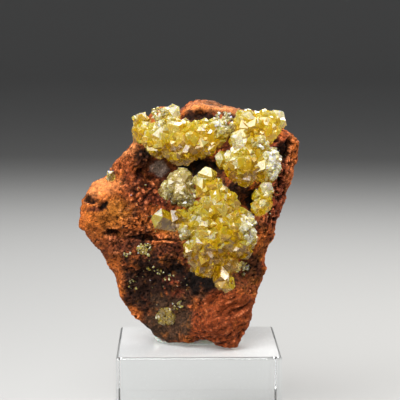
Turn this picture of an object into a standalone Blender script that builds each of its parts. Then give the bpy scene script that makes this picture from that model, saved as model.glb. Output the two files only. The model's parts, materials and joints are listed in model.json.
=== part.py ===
"""Adamite crystals on limonite, held upright with mineral tack on a clear acrylic block.

Units are metres, +Z is up and the crystals face -Y.
The origin is the centre of the block's underside.
Tables that end in _MM are in millimetres, with heights counted from the block's top.
"""
import math
import random

import bmesh
import bpy
import numpy as np
from mathutils import Matrix, Vector, noise
from mathutils.bvhtree import BVHTree

MM = 0.001

# Driving dimensions
BLOCK_SIDE = 50 * MM
BLOCK_HEIGHT = 25 * MM
BLOCK_EDGE = 0.8 * MM
CLEARANCE = 0.3 * MM

# The rock: its outline seen from the front, anticlockwise from the right
ROCK_MIDDLE_MM = (-1.0, 39.0)
ROCK_OUTLINE_MM = [
    (24.6, 40.5), (27.3, 47.3), (28.6, 51.7), (30.2, 57.9), (30.6, 63.0), (29.1, 66.6),
    (26.0, 67.8), (22.9, 70.0), (18.6, 71.9), (13.7, 73.1), (9.3, 73.8), (2.6, 75.3),
    (-1.5, 75.3), (-5.5, 72.5), (-11.6, 74.1), (-15.3, 71.0), (-18.1, 67.7), (-20.6, 61.8),
    (-25.8, 57.1), (-27.5, 53.3), (-32.5, 50.6), (-36.5, 45.7), (-37.0, 39.4), (-33.9, 33.5),
    (-29.2, 28.1), (-26.2, 22.4), (-25.0, 17.4), (-22.2, 11.1), (-19.7, 8.2), (-16.4, 6.0),
    (-14.0, 2.6), (-11.3, 1.2), (-5.4, 1.9), (0.3, 2.2), (4.7, 2.3), (8.2, 0.9),
    (10.2, -0.3), (12.0, 0.9), (14.5, 5.5), (16.9, 15.5), (20.6, 27.0), (22.4, 32.5),
]
ROCK_FRONT_DEPTH = 12 * MM
ROCK_BACK_DEPTH = 17 * MM
ROCK_SQUARENESS = 3.3
ROCK_TRIANGLES = 3300
ROCK_LUMPS_MM = [(12.0, 3.6), (6.0, 2.6), (3.2, 1.5)]    # size of the lumps, and their height
LUMP_MEAN = 0.18            # mean of the noise that makes the lumps
RIM_ROUGHNESS = 0.3         # share of the lumps' height that the outline gets
RIM_WIDTH = 0.5             # how far the calm rim reaches, from 0 at the outline to 1 at the middle
RELIEF_RANGE = (0.1, 0.5)   # where the front's relief fades in, counted the same way
TIP_ACROSS_MM = (-12.0, 8.0)    # where the lower tip's lean fades in, left to right
TIP_DOWN_MM = (26.0, 2.0)       # and from the top down
TIP_LEAN = 10 * MM          # how far the lower tip leans forward
TIP_THINNING = 0.55         # how much of the front's depth the tip loses
MID_PLANE = -2 * MM         # where the rock's widest outline lies, front to back

# Relief of the front: x, z, half width, half height, how far it stands out (a hollow is negative)
ROCK_RELIEF_MM = [
    (-31.0, 43.0, 9.0, 9.0, 2.5),      # left lobe
    (-30.8, 48.3, 3.2, 2.6, -3.0),     # pit in the lobe
    (-21.4, 60.4, 7.0, 6.0, 2.0),      # left shoulder
    (-2.5, 54.5, 14.0, 5.0, -7.0),     # hollow under the top-left cluster
    (15.7, 45.1, 4.5, 5.5, -4.0),      # hollow right of the middle cluster
    (0.6, 71.8, 7.0, 2.6, -3.0),       # recess behind the top-left cluster
    (-12.0, 15.0, 10.0, 11.0, -3.0),   # dark lower left
    (16.4, 25.1, 4.5, 5.0, -2.5),      # hollow at the lower right
    (8.5, 12.0, 8.0, 12.0, 1.5),       # flat face above the tip
]
# Level cracks under ledges, given the same way, and how far they wave up and down
ROCK_LEDGES_MM = [
    (-15.0, 35.6, 9.0, 0.9, -1.8),
    (-14.0, 31.6, 9.0, 0.9, -1.6),
]
LEDGE_WAVE_MM = 0.8
LEDGE_WAVELENGTH_MM = 12.5
# Broken faces: direction they face, and distance from the rock's middle in millimetres
ROCK_BREAKS = [
    ((0.45, 0.86, 0.25), 15.5),
    ((-0.60, 0.78, 0.15), 17.5),
    ((0.10, 0.80, -0.60), 20.0),
    ((-0.15, 0.90, 0.55), 21.5),
    ((0.80, 0.55, -0.20), 21.0),
]
BREAK_FLATTENING = 0.85     # share of what stands beyond a broken face that is taken off

# Crystal clusters. A mound is x, z, radius, and its rise. At a rise of 0.5 the mound's centre lies
# on the rock's face, and each 0.1 more brings it a tenth of its radius forward.
# A leading crystal is the x, z of its tip, how far the tip lies before the centre of the nearest
# mound, its direction, its width and its length.
CLUSTERS_MM = {
    "adamite_top_left": {
        "seed": 11, "crystal": 4.0,
        "mounds": [(-17.0, 69.4, 3.0, 0.6), (-16.2, 66.2, 3.8, 0.6), (-11.4, 64.6, 5.9, 0.6),
                   (-5.2, 63.8, 7.0, 0.55), (0.8, 65.0, 6.0, 0.6), (4.2, 66.4, 4.8, 0.6),
                   (-8.8, 70.4, 3.4, 0.6)],
        "leading": [(-20.2, 67.4, 1.0, (-1.0, -0.3, 0.1), 4.2, 6.2),
                    (-5.8, 56.8, 2.0, (0.1, -0.5, -1.0), 3.8, 5.6)],
    },
    "adamite_right": {
        "seed": 23, "crystal": 3.9,
        "mounds": [(14.2, 69.2, 4.2, 0.6), (19.4, 67.6, 5.6, 0.6), (22.8, 68.8, 3.6, 0.7),
                   (12.2, 65.0, 3.0, 0.8), (17.0, 62.0, 5.0, 0.6), (14.3, 57.6, 5.8, 0.7),
                   (19.6, 57.2, 5.4, 0.6), (9.2, 58.2, 3.2, 0.9), (14.6, 54.0, 3.6, 0.8)],
        "leading": [(14.7, 73.6, 1.5, (-0.1, -0.3, 1.0), 4.0, 6.2),
                    (19.9, 73.6, 1.5, (0.1, -0.3, 1.0), 3.8, 5.8),
                    (25.6, 72.8, 1.0, (0.7, -0.3, 0.8), 4.0, 6.2),
                    (11.0, 64.5, 4.5, (-0.4, -1.0, 0.1), 4.4, 6.2),
                    (5.0, 59.2, 2.0, (-1.0, -0.4, 0.2), 4.0, 6.2)],
    },
    "adamite_centre": {
        "seed": 37, "crystal": 4.2,
        "mounds": [(3.4, 49.8, 4.2, 0.8), (6.2, 44.8, 6.0, 0.6), (0.6, 39.8, 6.6, 0.6),
                   (8.2, 38.2, 7.2, 0.6), (2.6, 32.4, 7.4, 0.6), (12.2, 34.0, 5.6, 0.7),
                   (1.8, 26.8, 4.4, 0.7), (8.2, 26.8, 3.8, 0.7), (7.6, 22.0, 3.2, 0.7),
                   (-5.2, 41.0, 3.4, 1.0)],
        "leading": [(2.9, 56.4, 2.0, (0.1, -0.4, 1.0), 4.8, 7.5),
                    (-0.8, 53.6, 2.0, (-0.6, -0.6, 0.8), 4.4, 6.2),
                    (7.6, 51.0, 2.0, (0.8, -0.5, 0.4), 3.6, 5.5),
                    (12.4, 46.0, 2.0, (0.9, -0.5, 0.3), 4.2, 6.2),
                    (-14.2, 42.0, 1.5, (-0.9, -0.35, 0.35), 6.0, 9.4)],
    },
    "adamite_cavity": {
        "pale": True, "seed": 41, "crystal": 2.8,
        "mounds": [(-5.0, 51.8, 3.6, 1.3), (-6.9, 50.6, 3.2, 1.1), (-9.0, 49.6, 2.6, 0.7),
                   (-5.6, 48.6, 3.0, 0.5)],
    },
    "adamite_right_edge": {
        "seed": 53, "crystal": 3.2,
        "mounds": [(20.0, 47.8, 2.9, 0.8), (18.6, 43.6, 2.8, 0.8)],
    },
    "adamite_lower_left": {
        "pale": True, "seed": 71, "crystal": 2.0,
        "mounds": [(-8.2, 9.8, 1.4, 0.4), (-9.1, 11.3, 1.4, 0.4), (-10.9, 11.3, 1.4, 0.4),
                   (-11.8, 9.8, 1.4, 0.4), (-10.9, 8.3, 1.4, 0.4), (-9.1, 8.3, 1.4, 0.4)],
    },
    "adamite_left_sprig": {
        "pale": True, "seed": 83, "crystal": 2.0,
        "mounds": [(-17.0, 31.0, 1.6, 0.8)],
    },
    "adamite_left_shoulder": {
        "pale": True, "seed": 97, "crystal": 1.9,
        "mounds": [(-26.6, 52.8, 1.4, 0.9)],
    },
}
CLUSTER_DETAIL = 0.45       # share of the joined crystals' faces that is kept
WELD_DISTANCE = 0.002 * MM
CORE_SHARE = 0.88           # a mound's core, as a share of the mound's radius

# How crystals stand on a mound. Sizes are shares of the cluster's crystal size.
CRYSTAL_DENSITY = 10        # crystals on a mound whose radius is one crystal size
CRYSTAL_SIZES = (0.75, 1.35)
CRYSTAL_LIFTS = (-0.15, 0.3)
CRYSTAL_LEAN = 0.3          # how far it leans away from the mound's radius
BURIED_REACH = 0.98         # share of another mound's radius that hides a tip
BACK_FACING = 0.3           # crystals that point further to the back are left out

# One crystal, in shares of its width
GIRDLE_DEPTH = 0.38         # from its tip down to its widest place
CRYSTAL_LENGTH = 1.25       # from its tip down to its root, unless the middle of its mound is nearer
ROOT_WIDTH = 0.7
CRYSTAL_FLATNESS = 0.8      # its second width
RIDGE_CHOICES = (0.06, 0.35, 0.65)
LEADING_RIDGE = 0.4

# The tack, as an ellipsoid that is cut flat by the block and pressed in by the rock
TACK_HALF_SIZE_MM = (13.5, 8.5, 5.5)
TACK_PLACE_MM = (-1.0, 2.0, 1.5)
TACK_WAVE_MM = 5.0
TACK_WAVE_HEIGHT = 0.12     # as a share of the tack's size
TACK_DETAIL = 0.1           # share of its faces that is kept

ADAMITE_YELLOW = (0.62, 0.58, 0.12)
ADAMITE_PALE = (0.60, 0.60, 0.38)
LIMONITE_BROWN = (0.28, 0.09, 0.035)
TACK_GREY = (0.62, 0.66, 0.58)
ACRYLIC_CLEAR = (0.93, 0.95, 0.96)


def clear_scene():
    """Remove every object, so that the script gives the same result wherever it is run."""
    for obj in list(bpy.data.objects):
        bpy.data.objects.remove(obj, do_unlink=True)


def new_collection(name):
    collection = bpy.data.collections.new(name)
    bpy.context.scene.collection.children.link(collection)
    return collection


def mesh_object(name, bm, collection):
    """Turn a bmesh into an object and free the bmesh."""
    bmesh.ops.recalc_face_normals(bm, faces=bm.faces)
    mesh = bpy.data.meshes.new(name)
    bm.to_mesh(mesh)
    bm.free()
    obj = bpy.data.objects.new(name, mesh)
    collection.objects.link(obj)
    return obj


def hide_cutter(obj):
    obj.hide_render = True
    obj.display_type = "WIRE"


def evaluated_mesh(obj):
    """A new mesh of the object with its modifiers applied."""
    depsgraph = bpy.context.evaluated_depsgraph_get()
    return bpy.data.meshes.new_from_object(obj.evaluated_get(depsgraph))


def add_boolean(obj, operation, operand, solver="EXACT"):
    """Join or cut the object with another object, or with every object of a collection."""
    modifier = obj.modifiers.new(operation.lower(), "BOOLEAN")
    modifier.operation = operation
    modifier.solver = solver
    if isinstance(operand, bpy.types.Collection):
        modifier.operand_type = "COLLECTION"
        modifier.collection = operand
    else:
        modifier.object = operand


def give_material(obj, colour, roughness, transmission=0.0, ior=1.5):
    """Give the object its own Principled material."""
    material = bpy.data.materials.new(obj.name + "_material")
    material.use_nodes = True
    shader = material.node_tree.nodes["Principled BSDF"]
    shader.inputs["Base Color"].default_value = (*colour, 1.0)
    shader.inputs["Roughness"].default_value = roughness
    shader.inputs["Metallic"].default_value = 0.0
    shader.inputs["Transmission Weight"].default_value = transmission
    shader.inputs["IOR"].default_value = ior
    obj.data.materials.clear()
    obj.data.materials.append(material)


# ---------------------------------------------------------------- block


def make_block(parts):
    """The acrylic block, standing on the origin, with polished and slightly broken edges."""
    bm = bmesh.new()
    bmesh.ops.create_cube(bm, size=1.0)
    bmesh.ops.scale(bm, vec=(BLOCK_SIDE, BLOCK_SIDE, BLOCK_HEIGHT), verts=bm.verts)
    bmesh.ops.translate(bm, vec=(0, 0, BLOCK_HEIGHT / 2), verts=bm.verts)
    block = mesh_object("display_block", bm, parts)
    bevel = block.modifiers.new("polished edges", "BEVEL")
    bevel.width = BLOCK_EDGE
    bevel.segments = 2
    give_material(block, ACRYLIC_CLEAR, 0.03, transmission=1.0, ior=1.49)


# ---------------------------------------------------------------- rock


def smooth_step(low, high, value):
    """0 at low and before it, 1 at high and past it, with a smooth turn between them."""
    t = min(1.0, max(0.0, (value - low) / (high - low)))
    return t * t * (3 - 2 * t)


def outline_reach(angle):
    """Distance in metres from the rock's middle to its outline in this direction."""
    middle_x, middle_z = ROCK_MIDDLE_MM
    angles = [math.atan2(z - middle_z, x - middle_x) for x, z in ROCK_OUTLINE_MM]
    reaches = [math.hypot(x - middle_x, z - middle_z) for x, z in ROCK_OUTLINE_MM]
    return MM * np.interp(angle, angles, reaches, period=2 * math.pi)


def tip_share(x, z):
    """0 over most of the rock, and 1 at its lower right tip."""
    return smooth_step(*TIP_DOWN_MM, z / MM) * smooth_step(*TIP_ACROSS_MM, x / MM)


def front_relief(x, z):
    """How far lumps and hollows move the rock's front out, in metres."""
    total = 0.0
    for centre_x, centre_z, half_width, half_height, rise in ROCK_RELIEF_MM:
        across = (x / MM - centre_x) / half_width
        up = (z / MM - centre_z) / half_height
        total += rise * math.exp(-((across ** 2 + up ** 2) ** 2))
    for centre_x, centre_z, half_width, half_height, rise in ROCK_LEDGES_MM:
        across = (x / MM - centre_x) / half_width
        wave = LEDGE_WAVE_MM * math.sin(2 * math.pi * x / MM / LEDGE_WAVELENGTH_MM)
        up = (z / MM - centre_z - wave) / half_height
        total += rise * math.exp(-(across ** 4) - up ** 2)
    return total * MM


def rock_form(direction, reach):
    """Place one point of the unit sphere on the smooth form of the rock, above the block's top."""
    spread = math.hypot(direction.x, direction.z)
    x = reach * direction.x + ROCK_MIDDLE_MM[0] * MM
    z = reach * direction.z + ROCK_MIDDLE_MM[1] * MM
    fullness = max(0.0, 1 - spread ** ROCK_SQUARENESS) ** (1 / ROCK_SQUARENESS)
    tip = tip_share(x, z)
    if direction.y < 0:
        facing = smooth_step(*RELIEF_RANGE, -direction.y)
        depth = -fullness * ROCK_FRONT_DEPTH * (1 - TIP_THINNING * tip) - facing * front_relief(x, z)
    else:
        depth = fullness * ROCK_BACK_DEPTH
    return Vector((x, MID_PLANE - TIP_LEAN * tip + depth, z))


def break_faces(point):
    """Flatten what stands beyond the rock's broken faces."""
    middle = Vector((ROCK_MIDDLE_MM[0] * MM, 0, ROCK_MIDDLE_MM[1] * MM))
    for facing, distance in ROCK_BREAKS:
        normal = Vector(facing).normalized()
        beyond = (point - middle).dot(normal) - distance * MM
        if beyond > 0:
            point = point - BREAK_FLATTENING * beyond * normal
    return point


def roughness_at(point):
    """Rough lumps with creases between them, in metres along the rock's normal."""
    total = 0.0
    for size, height in ROCK_LUMPS_MM:
        lump = abs(noise.noise(point / (size * MM) + Vector((size, 3, 1))))
        total += height * (lump - LUMP_MEAN)
    return total * MM


def make_rock(parts):
    """The limonite, from a fine sphere that is moved to the rock's form and roughened."""
    bm = bmesh.new()
    bmesh.ops.create_icosphere(bm, subdivisions=6, radius=1.0)
    directions = [vert.co.copy() for vert in bm.verts]
    reaches = outline_reach(np.array([math.atan2(d.z, d.x) for d in directions]))
    for vert, direction, reach in zip(bm.verts, directions, reaches):
        vert.co = break_faces(rock_form(direction, reach))
    bm.normal_update()
    normals = [vert.normal.copy() for vert in bm.verts]
    for vert, direction, normal in zip(bm.verts, directions, normals):
        calm = RIM_ROUGHNESS + (1 - RIM_ROUGHNESS) * smooth_step(0.0, RIM_WIDTH, abs(direction.y))
        vert.co += normal * roughness_at(vert.co) * calm
        vert.co.z = max(vert.co.z, CLEARANCE) + BLOCK_HEIGHT
    rock = mesh_object("limonite_matrix", bm, parts)
    simplify = rock.modifiers.new("fewer faces", "DECIMATE")
    simplify.ratio = ROCK_TRIANGLES / len(rock.data.polygons)
    give_material(rock, LIMONITE_BROWN, 0.85)
    return rock


def make_rock_cutter(rock, cutters):
    """A copy of the finished rock, larger by the clearance, that shapes what touches the rock."""
    cutter = bpy.data.objects.new("rock_cutter", evaluated_mesh(rock))
    cutters.objects.link(cutter)
    grow = cutter.modifiers.new("clearance", "DISPLACE")
    grow.strength = CLEARANCE
    grow.mid_level = 0.0
    hide_cutter(cutter)
    return cutter


# ---------------------------------------------------------------- tack


def make_tack(parts, rock_cutter):
    """The lump of tack pressed between the block and the rock."""
    bm = bmesh.new()
    bmesh.ops.create_icosphere(bm, subdivisions=4, radius=1.0)
    bmesh.ops.scale(bm, vec=Vector(TACK_HALF_SIZE_MM) * MM, verts=bm.verts)
    place = Vector(TACK_PLACE_MM) * MM + Vector((0, 0, BLOCK_HEIGHT))
    for vert in bm.verts:
        vert.co *= 1 + TACK_WAVE_HEIGHT * noise.noise(vert.co / (TACK_WAVE_MM * MM))
        vert.co += place
        vert.co.z = max(vert.co.z, BLOCK_HEIGHT + CLEARANCE)
    tack = mesh_object("mineral_tack", bm, parts)
    simplify = tack.modifiers.new("fewer faces", "DECIMATE")
    simplify.ratio = TACK_DETAIL
    add_boolean(tack, "DIFFERENCE", rock_cutter)
    keep_largest_body(tack)
    give_material(tack, TACK_GREY, 0.6)


# ---------------------------------------------------------------- crystals


def connected_bodies(bm):
    """Lists of the faces that hang together, the largest area last."""
    unseen = set(bm.faces)
    bodies = []
    while unseen:
        stack = [unseen.pop()]
        body = list(stack)
        while stack:
            for edge in stack.pop().edges:
                fresh = [face for face in edge.link_faces if face in unseen]
                unseen.difference_update(fresh)
                stack.extend(fresh)
                body.extend(fresh)
        bodies.append(body)
    return sorted(bodies, key=lambda faces: sum(face.calc_area() for face in faces))


def heal_pinches(bm):
    """Open the surface around edges that more than two faces share, and close it again."""
    bmesh.ops.remove_doubles(bm, verts=bm.verts, dist=WELD_DISTANCE)
    pinched = [vert for vert in bm.verts if any(len(edge.link_faces) > 2 for edge in vert.link_edges)]
    bmesh.ops.delete(bm, geom=pinched, context="VERTS")
    rims = [edge for edge in bm.edges if edge.is_boundary]
    bmesh.ops.holes_fill(bm, edges=rims, sides=0)


def keep_largest_body(obj):
    """Apply the modifiers, mend the surface and drop the crumbs beside the main body."""
    bm = bmesh.new()
    bm.from_mesh(evaluated_mesh(obj))
    heal_pinches(bm)
    crumbs = [face for body in connected_bodies(bm)[:-1] for face in body]
    bmesh.ops.delete(bm, geom=crumbs, context="FACES")
    bmesh.ops.triangulate(bm, faces=bm.faces)
    obj.modifiers.clear()
    bm.to_mesh(obj.data)
    bm.free()


def fibonacci_directions(count):
    """Evenly spread directions over the whole sphere."""
    golden = math.pi * (3 - math.sqrt(5))
    for index in range(count):
        height = 1 - 2 * (index + 0.5) / count
        ring = math.sqrt(1 - height * height)
        yield Vector((ring * math.cos(index * golden), height, ring * math.sin(index * golden)))


def add_crystal(crystals, tip, outward, width, length, ridge, twist):
    """A stubby crystal: a roof with a short ridge over a four-sided prism that narrows to its root."""
    turn = outward.to_track_quat("Z", "Y").to_matrix() @ Matrix.Rotation(twist, 3, "Z")
    half_x = width / 2
    half_y = CRYSTAL_FLATNESS * width / 2
    bm = bmesh.new()

    def corner(x, y, depth):
        return bm.verts.new(tip + turn @ Vector((x, y, -depth)))

    signs = ((1, 1), (-1, 1), (-1, -1), (1, -1))
    girdle = [corner(half_x * x, half_y * y, GIRDLE_DEPTH * width) for x, y in signs]
    root = [corner(ROOT_WIDTH * half_x * x, ROOT_WIDTH * half_y * y, length) for x, y in signs]
    right = corner(ridge * half_x, 0, 0)
    left = corner(-ridge * half_x, 0, 0)
    for side, top in enumerate(((left, right), (left,), (right, left), (right,))):
        after = (side + 1) % 4
        bm.faces.new((girdle[side], girdle[after], *top))
        bm.faces.new((girdle[after], girdle[side], root[side], root[after]))
    bm.faces.new(reversed(root))
    mesh_object("crystal", bm, crystals)


def rock_surface_y(rock_tree, x, z):
    """Where the rock's front lies at this place, seen from the front."""
    hit = rock_tree.ray_cast(Vector((x, -BLOCK_SIDE, z)), Vector((0, 1, 0)))[0]
    return hit.y if hit else 0.0


def add_mound_crystals(crystals, rng, mounds, index, crystal_size, rock_tree):
    """Crystals that radiate from one mound, where neither the rock nor another mound hides them."""
    centre, radius = mounds[index]
    others = mounds[:index] + mounds[index + 1:]
    for direction in fibonacci_directions(round(CRYSTAL_DENSITY * (radius / crystal_size) ** 2) + 2):
        wander = Vector((rng.uniform(-1, 1), rng.uniform(-1, 1), rng.uniform(-1, 1)))
        size = crystal_size * rng.uniform(*CRYSTAL_SIZES)
        lift = size * rng.uniform(*CRYSTAL_LIFTS)
        ridge = rng.choice(RIDGE_CHOICES)
        twist = rng.uniform(0, math.pi)
        tip = centre + direction * (radius + lift)
        buried = any((tip - other).length < BURIED_REACH * reach for other, reach in others)
        if buried or direction.y > BACK_FACING or tip.y > rock_surface_y(rock_tree, tip.x, tip.z):
            continue
        outward = (direction + CRYSTAL_LEAN * wander).normalized()
        length = min(CRYSTAL_LENGTH * size, radius + lift)
        add_crystal(crystals, tip, outward, size, length, ridge, twist)


def add_leading_crystal(crystals, rng, mounds, leading):
    """One of the larger crystals that stand out of the mass."""
    x_mm, z_mm, stand_out_mm, direction, width_mm, length_mm = leading
    x, z = x_mm * MM, z_mm * MM + BLOCK_HEIGHT
    nearest = min((centre for centre, radius in mounds), key=lambda c: math.hypot(c.x - x, c.z - z))
    tip = Vector((x, nearest.y - stand_out_mm * MM, z))
    outward = Vector(direction).normalized()
    twist = rng.uniform(0, math.pi)
    add_crystal(crystals, tip, outward, width_mm * MM, length_mm * MM, LEADING_RIDGE, twist)


def place_mounds(spec, rock_tree):
    """Centres and radii of a cluster's mounds, each set on the rock's front by its rise."""
    mounds = []
    for x_mm, z_mm, radius_mm, rise in spec["mounds"]:
        x, z, radius = x_mm * MM, z_mm * MM + BLOCK_HEIGHT, radius_mm * MM
        depth = rock_surface_y(rock_tree, x, z) + radius * (0.5 - rise)
        mounds.append((Vector((x, depth, z)), radius))
    return mounds


def add_core(name, centre, radius, collection):
    """The buried heart of a mound, which the crystals stand on."""
    bm = bmesh.new()
    bmesh.ops.create_icosphere(bm, subdivisions=1, radius=radius * CORE_SHARE)
    bmesh.ops.translate(bm, vec=centre, verts=bm.verts)
    return mesh_object(name, bm, collection)


def make_cluster(name, spec, parts, cutters, rock_tree, rock_cutter):
    """One mass of intergrown crystals, joined in one solid and fitted to the rock behind it."""
    rng = random.Random(spec["seed"])
    mounds = place_mounds(spec, rock_tree)
    crystals = bpy.data.collections.new(name + "_crystals")
    cutters.children.link(crystals)
    cluster = add_core(name, *mounds[0], parts)
    for centre, radius in mounds[1:]:
        add_core("core", centre, radius, crystals)
    for index in range(len(mounds)):
        add_mound_crystals(crystals, rng, mounds, index, spec["crystal"] * MM, rock_tree)
    for leading in spec.get("leading", []):
        add_leading_crystal(crystals, rng, mounds, leading)
    add_boolean(cluster, "UNION", crystals, solver="MANIFOLD")
    simplify = cluster.modifiers.new("fewer faces", "DECIMATE")
    simplify.ratio = CLUSTER_DETAIL
    add_boolean(cluster, "DIFFERENCE", rock_cutter, solver="MANIFOLD")
    keep_largest_body(cluster)
    colour = ADAMITE_PALE if spec.get("pale") else ADAMITE_YELLOW
    give_material(cluster, colour, 0.12, transmission=0.6, ior=1.72)
    for crystal in list(crystals.objects):
        bpy.data.objects.remove(crystal, do_unlink=True)


def main():
    clear_scene()
    parts = new_collection("adamite_specimen")
    cutters = new_collection("cutters")
    make_block(parts)
    rock = make_rock(parts)
    rock_cutter = make_rock_cutter(rock, cutters)
    make_tack(parts, rock_cutter)
    rock_tree = BVHTree.FromObject(rock, bpy.context.evaluated_depsgraph_get())
    for name, spec in CLUSTERS_MM.items():
        make_cluster(name, spec, parts, cutters, rock_tree, rock_cutter)


main()
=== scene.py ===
"""Looks of the adamite specimen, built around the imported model.

The rock is remeshed and given its fine relief and colours. Every crystal cluster is grown again
from its mounds, with sharp faces and smaller crystals between the large ones. The block and the
tack get finer meshes. Units are metres. Tables and sizes that end in _MM are in millimetres, with
x across the specimen and heights counted from the block's top. Colours are linear.
"""
import json
import math
import random

import bmesh
import bpy
import numpy as np
from mathutils import Matrix, Vector, noise
from mathutils.bvhtree import BVHTree

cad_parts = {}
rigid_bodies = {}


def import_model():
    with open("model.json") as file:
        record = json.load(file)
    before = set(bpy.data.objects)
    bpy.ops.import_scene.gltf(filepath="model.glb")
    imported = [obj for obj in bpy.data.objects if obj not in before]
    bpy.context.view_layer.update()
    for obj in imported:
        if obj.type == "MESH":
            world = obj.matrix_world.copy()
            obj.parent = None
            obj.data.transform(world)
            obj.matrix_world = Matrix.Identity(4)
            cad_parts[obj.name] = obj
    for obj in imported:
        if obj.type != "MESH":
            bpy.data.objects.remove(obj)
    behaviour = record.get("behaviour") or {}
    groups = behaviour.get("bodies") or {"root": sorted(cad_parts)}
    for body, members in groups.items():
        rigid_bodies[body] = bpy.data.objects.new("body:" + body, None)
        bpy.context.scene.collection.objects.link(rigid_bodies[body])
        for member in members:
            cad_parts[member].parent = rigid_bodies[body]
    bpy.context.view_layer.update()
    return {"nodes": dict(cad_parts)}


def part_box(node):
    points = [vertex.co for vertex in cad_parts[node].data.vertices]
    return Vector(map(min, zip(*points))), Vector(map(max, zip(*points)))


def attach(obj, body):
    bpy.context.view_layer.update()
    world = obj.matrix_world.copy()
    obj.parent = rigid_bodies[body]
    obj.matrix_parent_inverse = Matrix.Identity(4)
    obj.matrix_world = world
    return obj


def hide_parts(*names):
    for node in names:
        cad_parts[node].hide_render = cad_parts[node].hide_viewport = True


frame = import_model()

MM = 0.001
BLOCK_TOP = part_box("display_block")[1].z
BLOCK_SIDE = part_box("display_block")[1].x * 2

# ---------------------------------------------------------------- the stage's dimensions

# Camera, at the photograph's viewing angle
CAMERA_PLACE = (-0.0079, -0.5336, 0.1306)
CAMERA_TURN_DEG = (90 - 6.51, 0.0, -0.92)
CAMERA_LENS = 155.25
SENSOR_WIDTH = 36

# Soft lights that look at the specimen's middle: place, width and height, power, colour
SPECIMEN_MIDDLE = (0.0, 0.0, 0.065)
LIGHTS = {
    "top_front": ((-0.16, -0.34, 0.46), (0.50, 0.40), 5.6, (1.0, 1.0, 1.0)),
    "left_front": ((-0.52, -0.34, 0.20), (0.24, 0.40), 1.8, (1.0, 1.0, 1.0)),
    "right_rim": ((0.46, 0.10, 0.34), (0.16, 0.30), 2.2, (1.0, 0.94, 0.86)),
    "top_back": ((0.05, 0.46, 0.50), (0.60, 0.26), 4.0, (1.0, 1.0, 1.0)),
}
WORLD_COLOUR = (0.84, 0.85, 0.87, 1.0)
WORLD_STRENGTH = 0.22

FLOOR_GREY = (0.34, 0.34, 0.335)
FLOOR_RADIUS = 2.5
FLOOR_CURVE = 1.5           # radius of the bend between the floor and the wall
FLOOR_CURVE_STEPS = 12
FLOOR_TURN_STEPS = 96
WALL_HEIGHT = 1.5

# ---------------------------------------------------------------- the block's and the tack's dimensions

BLOCK_EDGE = 0.8 * MM
ACRYLIC = (0.95, 0.965, 0.97)
ACRYLIC_ABSORPTION = (0.90, 0.96, 0.97)
# Transmission, roughness where it is clean, and roughness of its specks of dust
CLEAR_SIDES = (1.0, 0.01, 0.35)
HAZED_TOP = (0.45, 0.22, 0.5)

TACK_VOXEL = 0.3 * MM
TACK_MELT_STEPS = 12
DENT_SIZE_MM = 3.2
DENT_DEPTH = 0.35 * MM
TACK_DARK = (0.62, 0.67, 0.58)
TACK_LIGHT = (0.74, 0.77, 0.69)

# ---------------------------------------------------------------- the rock's tables

ROCK_VOXEL = 0.42 * MM
ROCK_MELT_STEPS = 22        # smoothing steps that take the flat facets away
NORMAL_MELT_STEPS = 3
HOLLOW_STEPS = 10           # smoothing steps that tell hollows from high points
EDGE_WAVE = 0.55            # how far the edge of a zone wavers
SOFT_EDGE = 0.45            # half the width of a zone's edge, as a share of the zone's size
SHARP_EDGE = 0.08

# Fine relief. Sizes, heights and depths are in millimetres.
SWELL_SIZE = 6.0
SWELL_HEIGHT = 0.75
CREASE_SIZE = 5.5
CREASE_DEPTH = 0.55
LUMP_SIZE = 2.3
LUMP_HEIGHT = 1.4
KNOB_SIZE = 1.2
KNOB_HEIGHT = 0.6
LARGE_PIT_SIZE = 2.4
LARGE_PIT_DEPTH = 1.1
SMALL_PIT_SIZE = 1.2
SMALL_PIT_DEPTH = 0.55
STREAK_SIZE = 1.5
STREAK_HEIGHT = 0.7
STREAK_STRETCH = (0.14, 0.5, 1.0)
STREAK_SLOPE_DEG = 24.0
LUMP_REACH = 0.42           # a lump rises this far round its middle and sinks beyond, in its size
LEAST_ROUGHNESS = 0.15      # share of the pores, lumps and streaks outside their zones
BACK_SMOOTHNESS = 0.85      # how smooth the worn places of the back are

# Specks, painted shade and painted highlights in the rock's colours
LIGHT_SPECKS = (0.5, 1.9)   # strength, and brightness against the colour under them
DARK_SPECKS = (0.45, 2.2)
# painted shade: darker in hollows and in the gaps of the relief
HOLLOW_DARKENING = 0.82
GAP_DARKENING = 0.8
# painted highlight: brighter and towards salmon on high points
HIGH_BRIGHTENING = 0.7
PAINTED_HIGHLIGHT_STRENGTH = 0.45

ORANGE = (0.46, 0.115, 0.020)
BRIGHT_ORANGE = (0.60, 0.21, 0.065)
SALMON = (0.62, 0.27, 0.14)             # painted highlight on high points
OCHRE = (0.36, 0.12, 0.016)
RUST = (0.26, 0.058, 0.014)
RED = (0.20, 0.034, 0.012)
BRICK = (0.185, 0.036, 0.009)
RED_BROWN = (0.10, 0.022, 0.010)
DARK_BROWN = (0.024, 0.009, 0.005)
EARTH = (0.050, 0.026, 0.014)
BLACK = (0.006, 0.003, 0.002)
GREY = (0.33, 0.25, 0.21)
CRYSTAL_BASE = (0.42, 0.30, 0.06)       # the pale crust that the crystals stand on

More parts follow.
